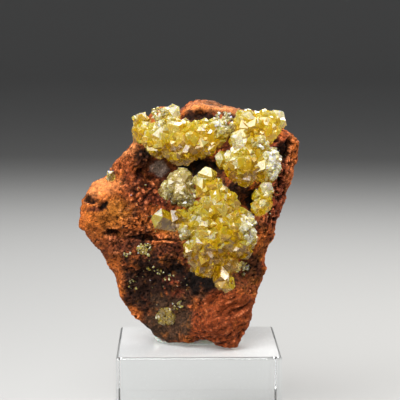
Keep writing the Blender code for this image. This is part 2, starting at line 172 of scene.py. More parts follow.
# Places on the rock's front: x, z, half width, half height, colour, strength
ROCK_COLOURS_MM = [
    (-29.5, 44.0, 10.0, 11.0, ORANGE, 1.0),          # left lobe
    (-30.5, 51.0, 8.0, 3.5, BRIGHT_ORANGE, 0.8),     # its top, partly its own paler skin and partly lighter by painted light from above
    (-26.5, 40.5, 6.0, 5.0, OCHRE, 0.6),
    (-24.3, 43.8, 4.0, 3.8, OCHRE, 0.9),
    (-32.4, 46.3, 2.6, 1.0, DARK_BROWN, 0.9),        # painted shade in the pits of the lobe
    (-29.0, 45.0, 1.4, 1.7, DARK_BROWN, 0.9),
    (-31.0, 43.7, 2.4, 0.8, RED_BROWN, 0.9),
    (-21.0, 58.5, 6.5, 4.5, RUST, 0.9),              # left shoulder
    (-22.0, 62.5, 4.0, 3.2, BRIGHT_ORANGE, 0.9),     # its slope, brighter in part by painted light on its top edge
    (-16.0, 57.5, 3.8, 5.0, DARK_BROWN, 0.85),       # its inner side, darkened as painted shade
    (-15.4, 61.4, 3.4, 2.2, BLACK, 0.9),
    (-16.0, 49.5, 8.5, 6.0, RED, 0.6),               # lumpy middle
    (-14.0, 50.5, 6.0, 4.0, RED_BROWN, 0.4),
    (-17.5, 38.5, 6.0, 3.5, ORANGE, 0.7),
    (-9.5, 37.6, 4.2, 1.7, OCHRE, 0.9),
    (-22.0, 33.0, 7.0, 4.5, RED_BROWN, 0.8),
    (-8.0, 30.5, 6.0, 3.0, RED_BROWN, 0.8),
    (-14.5, 19.5, 12.5, 13.5, DARK_BROWN, 1.0),      # dark lower left
    (-7.0, 21.5, 3.6, 1.5, RED, 0.7),
    (-6.5, 17.0, 2.2, 1.6, RED, 0.6),
    (-9.0, 8.5, 8.5, 8.0, EARTH, 0.95),              # brown foot left of the streaked face
    (-25.6, 19.5, 2.4, 9.0, ORANGE, 0.9),            # orange rim of the lower left, painted rim light
    (-20.5, 9.6, 3.2, 2.6, ORANGE, 0.8),
    (-2.0, 55.4, 9.0, 3.4, BLACK, 1.0),              # painted shadow in the hollow under the top-left cluster
    (-12.0, 55.6, 2.8, 1.8, GREY, 0.9),              # grey lump beside it
    (16.2, 45.6, 3.4, 4.4, BLACK, 1.0),              # painted shade in the hollow beside the middle cluster
    # painted shade under the left of the middle cluster
    (-5.0, 23.4, 5.5, 3.0, BLACK, 0.8),
    (4.0, 75.2, 14.0, 2.4, BRIGHT_ORANGE, 0.9),      # orange rim at the top: smooth skin, brighter by painted light from above
    (1.0, 71.0, 5.5, 2.0, DARK_BROWN, 1.0),          # painted shade in the recess behind the top-left cluster
    (25.8, 50.0, 5.0, 24.0, RED, 0.9),               # porous right strip
    (29.6, 57.0, 2.6, 11.0, ORANGE, 0.9),            # its orange rim, painted rim light
    (26.0, 60.5, 2.0, 3.4, DARK_BROWN, 0.9),
    (11.5, 50.0, 4.5, 3.4, DARK_BROWN, 0.95),        # painted shade in the gaps between the clusters
    (8.8, 63.0, 2.6, 4.0, RED_BROWN, 0.9),
    (17.2, 25.6, 3.0, 4.4, DARK_BROWN, 0.9),
    (11.5, 17.0, 3.5, 2.5, ORANGE, 0.6),
    (3.0, 21.6, 9.0, 3.2, BLACK, 1.0),               # shade under the middle cluster
]
# The streaked face above the tip ends at a sharp edge
SHARP_COLOURS_MM = [(8.8, 9.0, 10.6, 10.2, BRICK, 0.9), (3.0, 4.0, 5.6, 6.5, BRICK, 0.8)]
# Where the rock is porous, lumpy or streaked, given the same way without a colour
POROUS_MM = [(26.0, 48.0, 6.5, 27.0, 1.0), (-22.0, 59.0, 7.0, 6.0, 0.35), (-18.0, 40.0, 10.0, 5.0, 0.45)]
LUMPY_MM = [(-15.5, 50.0, 9.5, 7.0, 1.0), (-18.0, 61.0, 6.0, 6.0, 0.7), (-29.0, 44.0, 9.0, 9.0, 0.35)]
STREAKED_MM = [(8.6, 10.5, 10.0, 10.5, 1.0), (-12.0, 19.0, 13.0, 14.0, 0.45)]
# Where weathering has smoothed it
SMOOTH_MM = [(-30.5, 50.5, 8.0, 4.0, 0.85), (-35.5, 44.0, 3.0, 8.0, 0.6), (-29.5, 43.0, 8.0, 8.0, 0.4),
             (-23.0, 62.5, 4.0, 4.0, 0.7), (4.0, 75.0, 16.0, 2.6, 1.0), (9.5, 9.5, 8.5, 8.5, 0.8),
             (-12.0, 55.8, 3.4, 2.6, 0.8), (-9.0, 9.0, 9.0, 9.0, 0.5)]
# Single pits and cracks, with their depth in place of a strength
PITS_MM = [(-32.4, 46.3, 2.4, 0.8, -1.3), (-29.0, 45.0, 1.2, 1.5, -1.2), (-25.6, 36.0, 2.4, 1.0, -1.3),
           (26.0, 60.8, 1.4, 2.4, -1.0), (-17.0, 34.8, 5.0, 0.5, -0.9), (-10.0, 34.4, 5.5, 0.6, -1.2)]

# ---------------------------------------------------------------- the crystals' tables

# A mound is x, z, radius, and its rise. At a rise of 0.5 the mound's centre lies on the rock's
# face, and each 0.1 more brings it a tenth of its radius forward.
# A leading crystal is the x, z of its tip, how far the tip lies before the centre of the nearest
# mound, its direction, its width and its length.
CLUSTERS_MM = {
    "adamite_top_left": {
        "seed": 11, "crystal": 4.0,
        "mounds": [(-17.0, 69.4, 3.0, 0.6), (-16.2, 66.2, 3.8, 0.6), (-11.4, 64.6, 5.9, 0.6),
                   (-5.2, 63.8, 7.0, 0.55), (0.8, 65.0, 6.0, 0.6), (4.2, 66.4, 4.8, 0.6),
                   (-8.8, 70.4, 3.4, 0.6)],
        "leading": [(-20.2, 67.4, 1.0, (-1.0, -0.3, 0.1), 4.2, 6.2),
                    (-5.8, 56.8, 2.0, (0.1, -0.5, -1.0), 3.8, 5.6)],
    },
    "adamite_right": {
        "seed": 23, "crystal": 3.9,
        "mounds": [(14.2, 69.2, 4.2, 0.6), (19.4, 67.6, 5.6, 0.6), (22.8, 68.8, 3.6, 0.7),
                   (12.2, 65.0, 3.0, 0.8), (17.0, 62.0, 5.0, 0.6), (14.3, 57.6, 5.8, 0.7),
                   (19.6, 57.2, 5.4, 0.6), (9.2, 58.2, 3.2, 0.9), (14.6, 54.0, 3.6, 0.8)],
        "leading": [(14.7, 73.6, 1.5, (-0.1, -0.3, 1.0), 4.0, 6.2),
                    (19.9, 73.6, 1.5, (0.1, -0.3, 1.0), 3.8, 5.8),
                    (25.6, 72.8, 1.0, (0.7, -0.3, 0.8), 4.0, 6.2),
                    (11.0, 64.5, 4.5, (-0.4, -1.0, 0.1), 4.4, 6.2),
                    (5.0, 59.2, 2.0, (-1.0, -0.4, 0.2), 4.0, 6.2)],
    },
    "adamite_centre": {
        "seed": 37, "crystal": 4.2,
        "mounds": [(3.4, 49.8, 4.2, 0.8), (6.2, 44.8, 6.0, 0.6), (0.6, 39.8, 6.6, 0.6),
                   (8.2, 38.2, 7.2, 0.6), (2.6, 32.4, 7.4, 0.6), (12.2, 34.0, 5.6, 0.7),
                   (1.8, 26.8, 4.4, 0.7), (8.2, 26.8, 3.8, 0.7), (7.6, 22.0, 3.2, 0.7),
                   (-5.2, 41.0, 3.4, 1.0)],
        "leading": [(2.9, 56.4, 2.0, (0.1, -0.4, 1.0), 4.8, 7.5),
                    (-0.8, 53.6, 2.0, (-0.6, -0.6, 0.8), 4.4, 6.2),
                    (7.6, 51.0, 2.0, (0.8, -0.5, 0.4), 3.6, 5.5),
                    (12.4, 46.0, 2.0, (0.9, -0.5, 0.3), 4.2, 6.2),
                    (-13.9, 42.0, 1.5, (-0.9, -0.35, 0.35), 5.0, 8.6)],
    },
    "adamite_cavity": {
        "pale": True, "rounded": True, "seed": 41, "crystal": 2.8,
        "mounds": [(-5.0, 51.8, 3.6, 1.3), (-6.9, 50.6, 3.2, 1.1), (-9.0, 49.6, 2.6, 0.7),
                   (-5.6, 48.6, 3.0, 0.5)],
    },
    "adamite_right_edge": {
        "seed": 53, "crystal": 3.2,
        "mounds": [(20.0, 47.8, 2.9, 0.8), (19.2, 45.6, 2.7, 0.8), (18.6, 43.6, 2.8, 0.8)],
    },
    "adamite_lower_left": {
        "pale": True, "seed": 71, "crystal": 2.0,
        "mounds": [(-8.2, 9.8, 1.4, 0.4), (-9.1, 11.3, 1.4, 0.4), (-10.9, 11.3, 1.4, 0.4),
                   (-11.8, 9.8, 1.4, 0.4), (-10.9, 8.3, 1.4, 0.4), (-9.1, 8.3, 1.4, 0.4)],
    },
    "adamite_left_sprig": {
        "pale": True, "seed": 83, "crystal": 2.0,
        "mounds": [(-17.0, 31.0, 1.6, 0.8)],
    },
    "adamite_left_shoulder": {
        "pale": True, "seed": 97, "crystal": 1.9,
        "mounds": [(-26.6, 52.8, 1.4, 0.9)],
    },
}
CORE_SHARE = 0.88           # a mound's core, as a share of the mound's radius
LAYER_HEIGHT = 0.45 * MM    # layers of a rounded mound
LAYER_RELIEF = 0.10         # how far they stand out, as a share of its radius
BULGE_SIZE = 2.2 * MM
BULGE_RELIEF = 0.16

# How crystals stand on a mound. Sizes are shares of the cluster's crystal size.
CRYSTAL_DENSITY = 10        # about as many stand round a mound whose radius is one crystal size
CRYSTAL_SIZES = (0.75, 1.35)
CRYSTAL_LIFTS = (-0.15, 0.3)
CRYSTAL_LEAN = 0.3          # how far it leans away from the mound's radius
BURIED_REACH = 0.98         # share of another mound's radius that hides a tip
BACK_FACING = 0.3           # crystals that point further to the back are left out

# One crystal, in shares of its width
GIRDLE_DEPTH = 0.38         # from its tip down to its widest place
CRYSTAL_LENGTH = 1.25       # from its tip down to its root, unless the middle of its mound is nearer
ROOT_WIDTH = 0.7
CRYSTAL_FLATNESS = 0.8      # its second width
RIDGE_CHOICES = (0.06, 0.35, 0.65)
LEADING_RIDGE = 0.4

SMALL_SHARE = 0.5           # the smaller crystals between the large ones, as a share of their size
SMALL_DENSITY = 6
SMALL_SEED = 500

# The small crystals that stand on their own
SPRINKLED_SIZES = (0.6, 1.3)    # shares of their patch's crystal size
SPRINKLED_WIDTH = 0.8           # share of the crystal's own size
SPRINKLED_RISE = 0.45           # how far its tip stands out of what it grows on, given the same way
SPRINKLED_RIDGE = 0.35          # share of its width
SPRINKLED_LEAN = 0.7

# The tint of a face runs from 0, dark amber at the root and in painted shade, to 1, frosty white and
# painted highlight.
# Every face starts at the first of these. The others are added by place and direction, several as painted
# light and shade.
TINT_START = 0.18
TINT_BEFORE_ROCK = 0.20     # on faces that stand well out of the rock, both their own paler growth and painted shade near the rock
TINT_UPWARD = 0.12          # painted light on faces that look up, and painted shade taken off those that look down
TINT_VARIETY = 0.07         # from face to face
TINT_PAINTED_GLINT = 0.40         # painted glints on a few faces that do not look down
TINT_HEIGHT = 0.24          # painted light towards a mound's top, and painted shade taken off towards its foot
TINT_TIP = 0.36             # from a crystal's root to its tip, both its own zoning and painted shade deep between the crystals
TINT_PALE = 0.15            # on the pale clusters

# Frosted and amber places on the clusters, some of them painted light and shade: x, z, half width, half
# height, shift of the tint
CRYSTAL_TINTS_MM = [
    (23.0, 58.5, 4.0, 9.0, 0.35),        # frosty right side of the right lump
    (8.5, 60.0, 3.6, 4.0, 0.30),         # its left ear
    (12.3, 65.0, 3.2, 3.2, 0.30),        # pale block-shaped crystal
    (7.5, 71.0, 6.0, 2.5, 0.25),
    (2.9, 56.0, 3.4, 3.4, -0.35),        # top of the middle cluster
    (16.2, 38.0, 3.0, 4.5, 0.30),        # its frosty right edge
    (-2.5, 36.5, 3.0, 4.5, 0.25),
    (0.5, 44.5, 5.0, 4.5, 0.16),
    (-11.5, 66.5, 5.0, 4.0, 0.15),
    (-6.0, 60.0, 12.0, 3.2, -0.28),      # amber underside of the top-left cluster, partly painted shade
    (14.5, 54.5, 7.5, 5.5, -0.18),
    (4.0, 26.5, 9.0, 6.0, -0.42),        # dark amber foot of the middle cluster, painted shade
    (-7.6, 41.8, 2.6, 2.8, -0.42),       # saddle beside the crystal that points left
    (-13.4, 43.6, 3.4, 1.6, 0.30),       # that crystal's upper face, lighter by painted light
    (-11.5, 40.4, 3.8, 2.4, -0.14),      # its lower faces
    (-7.5, 50.5, 5.5, 5.0, -0.22),       # olive cluster in the cavity
    (19.5, 46.0, 4.0, 5.5, 0.18),        # the small cluster at the right edge
    (-26.6, 52.8, 2.5, 2.5, -0.40),      # olive crystals on the left shoulder
    (-10.0, 9.8, 4.0, 4.0, -0.45),       # dark rosette at the lower left
]

# Patches of small crystals on the rock and the clusters: x, z, half width, half height, number, size
SPRINKLES_MM = {
    "pale_crust": [
        (-11.5, 72.0, 3.2, 2.6, 60, 1.4),
        (8.0, 69.5, 3.0, 3.0, 60, 1.5),
        (-3.0, 48.0, 2.0, 3.4, 50, 1.6),
        (-5.5, 46.4, 3.2, 1.4, 40, 1.4),
        (15.0, 37.6, 2.2, 4.0, 40, 2.0),
        (22.8, 57.0, 1.8, 4.5, 36, 1.8),
        (-4.2, 36.6, 1.6, 2.4, 20, 1.9),
        (18.6, 64.0, 2.6, 2.0, 20, 1.5),
        (-9.6, 49.0, 1.4, 2.0, 20, 1.3),
    ],
    "loose_glints": [
        (-16.5, 31.2, 2.8, 2.4, 16, 0.9),
        (-21.6, 29.9, 1.0, 0.8, 4, 1.0),
        (-14.8, 31.7, 0.9, 0.8, 4, 1.0),
        (-14.6, 25.6, 1.0, 0.8, 3, 1.2),
        (-11.6, 24.0, 1.4, 0.9, 6, 0.9),
        (-9.4, 22.2, 1.6, 1.0, 6, 0.8),
        (-20.0, 20.0, 1.5, 2.0, 8, 0.8),
        (13.4, 25.0, 2.2, 2.4, 22, 1.4),
        (-6.6, 13.4, 2.0, 1.5, 14, 1.0),
        (-11.0, 20.0, 9.0, 9.0, 22, 0.5),
        (-18.0, 44.0, 10.0, 9.0, 18, 0.5),
        (24.0, 45.0, 4.0, 20.0, 20, 0.5),
    ],
}

# The two kinds of crystal: colours from root to tip, share of light let through, and absorption
CRYSTAL_LOOKS = {
    "adamite": {
        "stops": [(0.18, 0.095, 0.001), (0.50, 0.33, 0.002), (0.44, 0.38, 0.035),
                  (0.46, 0.445, 0.23), (0.80, 0.80, 0.72)],
        "transmission": 0.5,
        "absorption": (0.97, 0.915, 0.10),
        "density": 420.0,
    },
    "pale_adamite": {
        "stops": [(0.20, 0.14, 0.035), (0.34, 0.27, 0.09), (0.48, 0.42, 0.20), (0.86, 0.82, 0.70)],
        "transmission": 0.35,
        "absorption": (0.97, 0.92, 0.66),
        "density": 60.0,
    },
}


# ---------------------------------------------------------------- meshes


def smooth_step(low, high, value):
    """0 at low and before it, 1 at high and past it, for arrays too."""
    t = np.clip((np.asarray(value, float) - low) / (high - low), 0, 1)
    return t * t * (3 - 2 * t)


def new_object(name, mesh, collection=None):
    """Put a mesh in the scene, or in the collection that is given."""
    obj = bpy.data.objects.new(name, mesh)
    (collection or bpy.context.scene.collection).objects.link(obj)
    return obj


def object_from_bmesh(name, bm, collection=None):
    """Turn a bmesh into an object and free the bmesh."""
    bmesh.ops.recalc_face_normals(bm, faces=bm.faces)
    mesh = bpy.data.meshes.new(name)
    bm.to_mesh(mesh)
    bm.free()
    return new_object(name, mesh, collection)


def apply_modifiers(obj):
    """Give the object the mesh that its modifiers make, and remove them."""
    depsgraph = bpy.context.evaluated_depsgraph_get()
    mesh = bpy.data.meshes.new_from_object(obj.evaluated_get(depsgraph))
    obj.modifiers.clear()
    obj.data = mesh


def remeshed_copy(name, node, voxel):
    """A fine and even mesh of a CAD node's form."""
    bm = bmesh.new()
    bm.from_mesh(frame["nodes"][node].data)
    bmesh.ops.remove_doubles(bm, verts=bm.verts, dist=1e-6)
    obj = object_from_bmesh(name, bm)
    remesh = obj.modifiers.new("fine mesh", "REMESH")
    remesh.mode = "VOXEL"
    remesh.voxel_size = voxel
    apply_modifiers(obj)
    return obj


def read_rows(items, attribute, width, kind=float):
    """One attribute of every point, edge or face of a mesh, as the rows of an array."""
    values = np.empty(len(items) * width, kind)
    items.foreach_get(attribute, values)
    return values.reshape(-1, width)


def set_points(mesh, points):
    mesh.vertices.foreach_set("co", points.ravel())
    mesh.update()


def inside_box(points, box):
    """The points, kept between the two corners of a box."""
    low, high = (np.array(corner) for corner in box)
    return np.clip(points, low, high)


def neighbour_mean(values, edges):
    """The mean of each point's neighbours."""
    start, end = edges.T
    count = np.bincount(edges.ravel(), minlength=len(values))
    columns = []
    for column in values.T:
        total = np.bincount(start, column[end], len(values)) + np.bincount(end, column[start], len(values))
        columns.append(total / count)
    return np.array(columns).T


def smoothed(values, edges, steps):
    """The values of all points, drawn towards their neighbours' again and again."""
    for _ in range(steps):
        values = 0.5 * values + 0.5 * neighbour_mean(values, edges)
    return values


def set_colours(mesh, name, colours, alpha):
    """Store one colour and one more value for each point, for the shader to read."""
    attribute = mesh.color_attributes.new(name, "FLOAT_COLOR", "POINT")
    attribute.data.foreach_set("color", np.column_stack([colours, alpha]).ravel())


def shade_smooth(mesh):
    mesh.polygons.foreach_set("use_smooth", np.ones(len(mesh.polygons), bool))


def give_material(obj, material):
    obj.data.materials.clear()
    obj.data.materials.append(material)


# ---------------------------------------------------------------- shader helpers


class Shader:
    """A short way to write one Principled material."""

    def __init__(self, name):
        self.material = bpy.data.materials.new(name)
        self.material.use_nodes = True
        self.tree = self.material.node_tree
        self.principled = self.tree.nodes["Principled BSDF"]
        self.output = self.tree.nodes["Material Output"]

    def node(self, kind, inputs=None, **settings):
        """Add a node, set it, and link or fill the inputs that are given."""
        node = self.tree.nodes.new("ShaderNode" + kind)
        for key, value in settings.items():
            setattr(node, key, value)
        for key, value in (inputs or {}).items():
            self.give(node.inputs[key], value)
        return node

    def give(self, socket, value):
        """Link a socket to another one, or fill it with a number or a colour."""
        if isinstance(value, bpy.types.NodeSocket):
            self.tree.links.new(value, socket)
        elif isinstance(value, tuple) and len(value) == 3 and socket.type == "RGBA":
            socket.default_value = (*value, 1.0)
        else:
            socket.default_value = value

    def set(self, **values):
        """Fill the shader's own sockets. Underscores in the names stand for spaces."""
        for key, value in values.items():
            self.give(self.principled.inputs[key.replace("_", " ")], value)

    def noise(self, size, detail=4.0, roughness=0.55, stretch=(1, 1, 1)):
        """Noise of this size in metres, read in the part's own frame."""
        coordinates = self.node("TexCoord").outputs["Object"]
        place = self.node("Mapping", {"Vector": coordinates, "Scale": stretch}).outputs["Vector"]
        inputs = {"Vector": place, "Scale": 1 / size, "Detail": detail, "Roughness": roughness}
        return self.node("TexNoise", inputs).outputs["Fac"]

    def cells(self, size):
        """Distance to the nearest of many points that lie this far apart."""
        coordinates = self.node("TexCoord").outputs["Object"]
        return self.node("TexVoronoi", {"Vector": coordinates, "Scale": 1 / size}).outputs["Distance"]

    def math(self, operation, first, second):
        return self.node("Math", {0: first, 1: second}, operation=operation).outputs[0]

    def between(self, value, low, high, to_low=0.0, to_high=1.0):
        """The value's range from low to high, stretched to another range."""
        inputs = {"Value": value, "From Min": low, "From Max": high, "To Min": to_low, "To Max": to_high}
        return self.node("MapRange", inputs).outputs["Result"]

    def mix(self, factor, first, second, blend="MIX"):
        """Two colours in one, by the factor."""
        node = self.node("Mix", data_type="RGBA", blend_type=blend)
        self.give(node.inputs["Factor"], factor)
        self.give(node.inputs[6], first)
        self.give(node.inputs[7], second)
        return node.outputs[2]

    def bump(self, height, distance, strength=1.0, normal=None):
        """Fine relief of this height in metres, over another bump if one is given."""
        inputs = {"Height": height, "Distance": distance, "Strength": strength}
        if normal is not None:
            inputs["Normal"] = normal
        return self.node("Bump", inputs).outputs["Normal"]

    def absorb(self, colour, density):
        """Colour the light that passes through the piece."""
        volume = self.node("VolumeAbsorption", {"Color": colour, "Density": density})
        self.tree.links.new(volume.outputs[0], self.output.inputs["Volume"])


# ---------------------------------------------------------------- the rock


def zone_share(points_mm, place, wobble, softness=SOFT_EDGE):
    """How far each point lies inside an ellipse with a wavering edge: 1 inside, 0 outside."""
    x, z, half_width, half_height = place
    reach = np.hypot((points_mm[:, 0] - x) / half_width, (points_mm[:, 2] - z) / half_height)
    return 1 - smooth_step(1 - softness, 1 + softness, reach + EDGE_WAVE * wobble)


def noise_at(points_mm, size_mm, octaves=3, smoothness=1.0, stretch=(1, 1, 1), shift=0.0):
    """Fractal noise for each point, about -1 to 1.

    A low smoothness makes its finest waves stronger. Each shift gives a noise of its own.
    """
    scaled = points_mm * np.array(stretch) / size_mm + shift
    return np.array([noise.fractal(Vector(p), smoothness, 2.0, octaves) for p in scaled])


def cell_distance(points_mm, size_mm, shift=0.0):
    """Distance to the nearest of many scattered points, in shares of their spacing."""
    scaled = points_mm / size_mm + shift
    return np.array([noise.voronoi(Vector(p))[0][0] for p in scaled])


def turned(points_mm, degrees):
    """The same points turned in the plane of the front, so that streaks can run at an angle."""
    angle = math.radians(degrees)
    across = points_mm[:, 0] * math.cos(angle) + points_mm[:, 2] * math.sin(angle)
    up = -points_mm[:, 0] * math.sin(angle) + points_mm[:, 2] * math.cos(angle)
    return np.stack([across, points_mm[:, 1], up], 1)


def rock_shares(points_mm, facing, wobble):
    """How porous, lumpy, streaked and smooth the rock is at each point."""
    rough_tables = [(table, LEAST_ROUGHNESS) for table in (POROUS_MM, LUMPY_MM, STREAKED_MM)]
    shares = []
    for table, least in rough_tables + [(SMOOTH_MM, 0.0)]:
        total = np.full(len(points_mm), least)
        for *place, strength in table:
            total = np.maximum(total, strength * facing * zone_share(points_mm, place, wobble))
        shares.append(total)
    return shares


def rock_relief(points_mm, facing, wobble):
    """The fine relief at each point in millimetres, how far it lies in a gap, and how smooth it is."""
    porous, lumpy, streaked, smooth = rock_shares(points_mm, facing, wobble)
    worn_back = (1 - facing) * smooth_step(0.0, 0.35, noise_at(points_mm, 11.0, 2, shift=50.0))
    smooth = np.maximum(smooth, BACK_SMOOTHNESS * worn_back)
    rough = 1 - smooth
    creases = smooth_step(0.10, 0.0, np.abs(noise_at(points_mm, CREASE_SIZE, 4, 0.8, shift=9.0)))
    large_pits = smooth_step(0.14, 0.40, noise_at(points_mm, LARGE_PIT_SIZE, 2, shift=2.0))
    large_pits *= 0.1 + 0.9 * porous
    small_pits = smooth_step(0.10, 0.34, noise_at(points_mm, SMALL_PIT_SIZE, 2, shift=7.0))
    small_pits *= 0.2 + 0.8 * porous
    lumps = cell_distance(points_mm, LUMP_SIZE)
    knobs = cell_distance(points_mm, KNOB_SIZE, 5.0)
    streaks = noise_at(turned(points_mm, STREAK_SLOPE_DEG), STREAK_SIZE, 4, 0.8, STREAK_STRETCH, 3.0)
    height = SWELL_HEIGHT * noise_at(points_mm, SWELL_SIZE, 6, 0.75)
    height -= rough * (CREASE_DEPTH * creases + LARGE_PIT_DEPTH * large_pits + SMALL_PIT_DEPTH * small_pits)
    height += rough * lumpy * LUMP_HEIGHT * (LUMP_REACH - lumps)
    height += rough * (0.2 + lumpy) * KNOB_HEIGHT * (LUMP_REACH - knobs)
    height += streaked * STREAK_HEIGHT * streaks
    # how far each point lies in a gap, where rock_colours paints shade
    gaps = rough * np.maximum.reduce([
        0.6 * creases,
        large_pits,
        0.8 * small_pits,
        lumpy * smooth_step(0.40, 0.66, lumps),
        0.8 * lumpy * smooth_step(0.46, 0.70, knobs),
        0.6 * streaked * smooth_step(0.1, 0.5, -streaks),
    ])
    for *place, depth in PITS_MM:
        share = facing * zone_share(points_mm, place, wobble + 1.5 * (small_pits - 0.1))
        height += depth * share
        gaps = np.maximum(gaps, share)
    return height, gaps, smooth


def towards(colours, colour, share):
    """Each point's colour, moved towards one colour by the point's share."""
    return colours + (np.array(colour) - colours) * share[:, None]


def zone_colours(points_mm, facing, wobble, fine):
    """Weathered orange all round, with the painted zones of the front over it."""
    broad = noise_at(points_mm, 13.0, 3, shift=40.0)
    mottle = noise_at(points_mm, 4.0, 4, shift=20.0)
    colours = np.tile(ORANGE, (len(points_mm), 1))
    colours = towards(colours, OCHRE, smooth_step(0.0, 0.5, mottle))
    colours = towards(colours, RED, 0.8 * smooth_step(0.0, 0.5, -mottle))
    colours = towards(colours, RUST, 0.8 * smooth_step(-0.05, 0.30, broad + 0.3 * mottle))
    colours = towards(colours, RED_BROWN, 0.8 * smooth_step(0.20, 0.45, -broad + 0.3 * fine))
    colours = towards(colours, EARTH, 0.8 * smooth_step(0.30, 0.55, broad - 0.4 * mottle))
    for table, softness in ((ROCK_COLOURS_MM, SOFT_EDGE), (SHARP_COLOURS_MM, SHARP_EDGE)):
        waves = softness * (2.2 * wobble + 1.3 * fine)
        for *place, colour, strength in table:
            share = strength * facing * zone_share(points_mm, place, waves, softness)
            colours = towards(colours, colour, share)
    return colours


def rock_colours(points_mm, facing, wobble, hollow, gaps):
    """Colour of each point: its zone, speckled, with painted shade in hollows and gaps and a painted
    highlight on high points.
    """
    fine = noise_at(points_mm, 1.1, 3, shift=30.0)
    colours = zone_colours(points_mm, facing, wobble, fine)
    strength, brightness = LIGHT_SPECKS
    light = strength * smooth_step(0.15, 0.5, fine)[:, None]
    colours = colours * (1 - light) + np.minimum(colours * brightness, 0.9) * light
    strength, brightness = DARK_SPECKS
    dark = strength * smooth_step(0.1, 0.6, -fine)[:, None]
    colours = colours * (1 - dark) + np.array(RED_BROWN) * colours.mean(1)[:, None] * brightness * dark
    # Painted shade in hollows and gaps (deep, gaps), and a painted highlight on high points (high)
    deep = smooth_step(0.06, 0.32, hollow)[:, None]
    high = smooth_step(0.12, 0.40, -hollow)[:, None]
    open_share = 1 - gaps[:, None]
    colours = colours * (1 - HOLLOW_DARKENING * deep) * (1 - GAP_DARKENING * gaps[:, None])
    # painted highlight in salmon on high points outside the gaps
    highlight = high * open_share * np.minimum(colours[:, :1] / 0.3, 1)
    return colours * (1 + HIGH_BRIGHTENING * high) + PAINTED_HIGHLIGHT_STRENGTH * highlight * np.array(SALMON)


def make_rock_material():
    """Earthy and rough: the stored colours, with grains, painted shade for small pores and ochre dust over
    them.
    """
    shader = Shader("limonite")
    stored = shader.node("Attribute", attribute_name="rock_colour")
    grains = shader.noise(0.5 * MM, detail=5.0, roughness=0.7)
    # dark spots of painted shade for small pores, left out where the rock is smooth
    pores = shader.between(shader.noise(0.9 * MM, detail=3.0, roughness=0.65), 0.38, 0.46, to_low=0.25)
    pores = shader.math("MAXIMUM", pores, stored.outputs["Alpha"])
    shade = shader.math("MULTIPLY", shader.between(grains, 0.3, 0.7, to_low=0.35, to_high=1.80), pores)
    grey = shader.node("CombineColor", {0: shade, 1: shade, 2: shade}).outputs[0]
    shaded = shader.mix(1.0, stored.outputs["Color"], grey, "MULTIPLY")
    dust = shader.between(shader.noise(2.2 * MM, detail=3.0, roughness=0.6), 0.58, 0.75, to_high=0.3)
    shader.set(Base_Color=shader.mix(dust, shaded, OCHRE))
    gloss = shader.noise(1.0 * MM, detail=3.0)
    shader.set(Roughness=shader.between(gloss, 0.35, 0.7, to_low=0.5, to_high=0.95))
    shader.set(Specular_IOR_Level=0.08)
    coarse = shader.bump(shader.cells(0.7 * MM), 0.3 * MM, strength=0.8)
    shader.set(Normal=shader.bump(grains, 0.3 * MM, normal=coarse))
    return shader.material


def under_crystals(points, cad_tree):
    """How far each point of the rock lies inside a mound of crystals: 1 inside, 0 outside."""
    share = np.zeros(len(points))
    for spec in CLUSTERS_MM.values():
        for centre, radius in place_mounds(spec, cad_tree):
            reach = np.linalg.norm(points - np.array(centre), axis=1) / radius
            share = np.maximum(share, 1 - smooth_step(0.80, 0.95, reach))
    return share


def make_rock(cad_tree):
    """The limonite: the CAD form remeshed fine, melted smooth and given its relief and colours."""
    rock = remeshed_copy("limonite", "limonite_matrix", ROCK_VOXEL)
    mesh = rock.data
    edges = read_rows(mesh.edges, "vertices", 2, int)
    form = smoothed(read_rows(mesh.vertices, "co", 3), edges, ROCK_MELT_STEPS)
    set_points(mesh, form)
    normals = smoothed(read_rows(mesh.vertices, "normal", 3), edges, NORMAL_MELT_STEPS)
    points_mm = (form - np.array([0, 0, BLOCK_TOP])) / MM
    facing = smooth_step(-0.15, 0.35, -normals[:, 1])
    wobble = noise_at(points_mm, 4.5, 3, shift=11.0)
    height, gaps, smooth = rock_relief(points_mm, facing, wobble)
    points = inside_box(form + normals * height[:, None] * MM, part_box("limonite_matrix"))
    set_points(mesh, points)
    hollow = (smoothed(height[:, None], edges, HOLLOW_STEPS) - height[:, None])[:, 0]
    colours = rock_colours(points_mm, facing, wobble, hollow, gaps)
    colours = towards(colours, CRYSTAL_BASE, under_crystals(points, cad_tree))
    set_colours(mesh, "rock_colour", colours, smooth)
    shade_smooth(mesh)
    give_material(rock, make_rock_material())
    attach(rock, "root")
    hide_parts("limonite_matrix")
    return rock


# ---------------------------------------------------------------- crystals


def fibonacci_directions(count):
    """Evenly spread directions over the whole sphere."""
    golden = math.pi * (3 - math.sqrt(5))
    for index in range(count):
        height = 1 - 2 * (index + 0.5) / count
        ring = math.sqrt(1 - height * height)
        yield Vector((ring * math.cos(index * golden), height, ring * math.sin(index * golden)))


